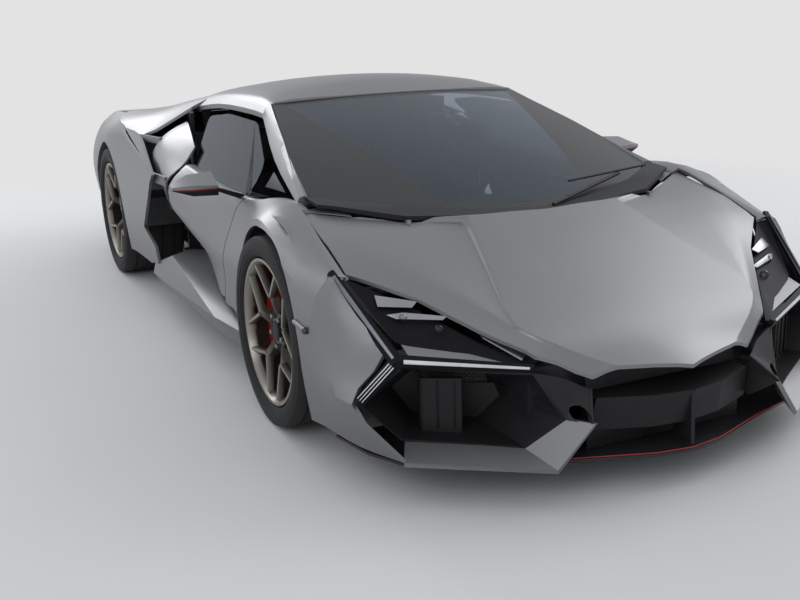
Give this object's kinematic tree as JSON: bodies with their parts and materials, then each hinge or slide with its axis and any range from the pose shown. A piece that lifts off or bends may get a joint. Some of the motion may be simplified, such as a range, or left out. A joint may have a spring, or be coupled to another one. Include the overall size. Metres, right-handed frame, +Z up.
{
  "type": "sports car",
  "caption": "Low mid-engined two-seat sports car with lifting doors, hood, engine cover, tilting rear wing, steered front wheels and four turning wheels.",
  "frame": {"origin": "on the ground under the middle of the car's overall length and width", "axes": "+X forward to the nose, +Y to the car's left, +Z up"},
  "size_m": [4.947, 2.266, 1.1642],
  "materials": {
    "body_paint": "matt grey metallic",
    "carbon": "satin carbon fibre",
    "black_plastic": "satin black",
    "lamp_black": "gloss black",
    "lamp_red": "gloss red",
    "glass": "tinted",
    "steel": "brushed",
    "alloy": "cast",
    "engine_grey": "cast",
    "cabin_trim": "matt black",
    "seat_leather": "matt black",
    "tyre": "matt",
    "wheel_bronze": "satin bronze"
  },
  "bodies": {
    "car": {"monocoque": "carbon", "underfloor": "carbon", "diffuser": "carbon", "front_splitter": "carbon", "front_bumper": "body_paint", "nose_frame": "black_plastic", "front_fender_left": "body_paint", "front_fender_right": "body_paint", "roof": "body_paint", "rear_quarter_left": "body_paint", "rear_quarter_right": "body_paint", "side_ducts": "body_paint", "sills": "body_paint", "headlamps": "lamp_black", "tail_lamps": "lamp_red", "cowl": "black_plastic", "tail_panel": "black_plastic", "windscreen": "glass", "exhaust": "steel", "tow_sockets": "steel", "engine": "engine_grey", "dashboard": "cabin_trim", "seats": "seat_leather", "steering_wheel": "cabin_trim", "suspension_arms": "alloy", "knuckles_rear": "alloy"},
    "hood": {"hood": "body_paint"},
    "engine_cover": {"engine_cover": "black_plastic"},
    "rear_wing": {"rear_wing": "body_paint"},
    "knuckle_left": {"knuckle_front_left": "alloy"},
    "knuckle_right": {"knuckle_front_right": "alloy"},
    "door_left": {"door_left": "body_paint", "door_glass_left": "glass", "door_mirror_left": "body_paint"},
    "front_wheel_left": {"tyre_front_left": "tyre", "wheel_front_left": "wheel_bronze"},
    "rear_wheel_left": {"tyre_rear_left": "tyre", "wheel_rear_left": "wheel_bronze"},
    "door_right": {"door_right": "body_paint", "door_glass_right": "glass", "door_mirror_right": "body_paint"},
    "front_wheel_right": {"tyre_front_right": "tyre", "wheel_front_right": "wheel_bronze"},
    "rear_wheel_right": {"tyre_rear_right": "tyre", "wheel_rear_right": "wheel_bronze"}
  },
  "joints": [
    {"name": "steer_left", "type": "hinge", "parent": "car", "child": "knuckle_left", "pos_m": [1.3485, 0.79, 0.347], "axis": [0, 0, 1], "range_deg": [-32, 32]},
    {"name": "steer_right", "type": "hinge", "parent": "car", "child": "knuckle_right", "pos_m": [1.3485, -0.79, 0.347], "axis": [0, 0, 1], "range_deg": [-32, 32]},
    {"name": "front_spin_left", "type": "hinge", "parent": "knuckle_left", "child": "front_wheel_left", "pos_m": [1.3485, 0.862, 0.347], "axis": [0, 1, 0], "continuous": true},
    {"name": "rear_spin_left", "type": "hinge", "parent": "car", "child": "rear_wheel_left", "pos_m": [-1.4305, 0.832, 0.37], "axis": [0, 1, 0], "continuous": true},
    {"name": "door_left_hinge", "type": "hinge", "parent": "car", "child": "door_left", "pos_m": [0.85, 0.8, 0.706], "axis": [0, 0.9838, -0.179], "range_deg": [0, 60]},
    {"name": "front_spin_right", "type": "hinge", "parent": "knuckle_right", "child": "front_wheel_right", "pos_m": [1.3485, -0.862, 0.347], "axis": [0, 1, 0], "continuous": true},
    {"name": "rear_spin_right", "type": "hinge", "parent": "car", "child": "rear_wheel_right", "pos_m": [-1.4305, -0.832, 0.37], "axis": [0, 1, 0], "continuous": true},
    {"name": "door_right_hinge", "type": "hinge", "parent": "car", "child": "door_right", "pos_m": [0.85, -0.8, 0.706], "axis": [0, 0.9838, 0.179], "range_deg": [0, 60]},
    {"name": "hood_hinge", "type": "hinge", "parent": "car", "child": "hood", "pos_m": [1.25, 0, 0.735], "axis": [0, -1, 0], "range_deg": [0, 38]},
    {"name": "engine_cover_hinge", "type": "hinge", "parent": "car", "child": "engine_cover", "pos_m": [-0.64, 0, 1.026], "axis": [0, 1, 0], "range_deg": [0, 45]},
    {"name": "rear_wing_tilt", "type": "hinge", "parent": "car", "child": "rear_wing", "pos_m": [-2.1, 0, 0.836], "axis": [0, 1, 0], "range_deg": [0, 12]}
  ],
  "couplings": [
    {"joint": "steer_right", "follows": "steer_left", "ratio": 1}
  ]
}
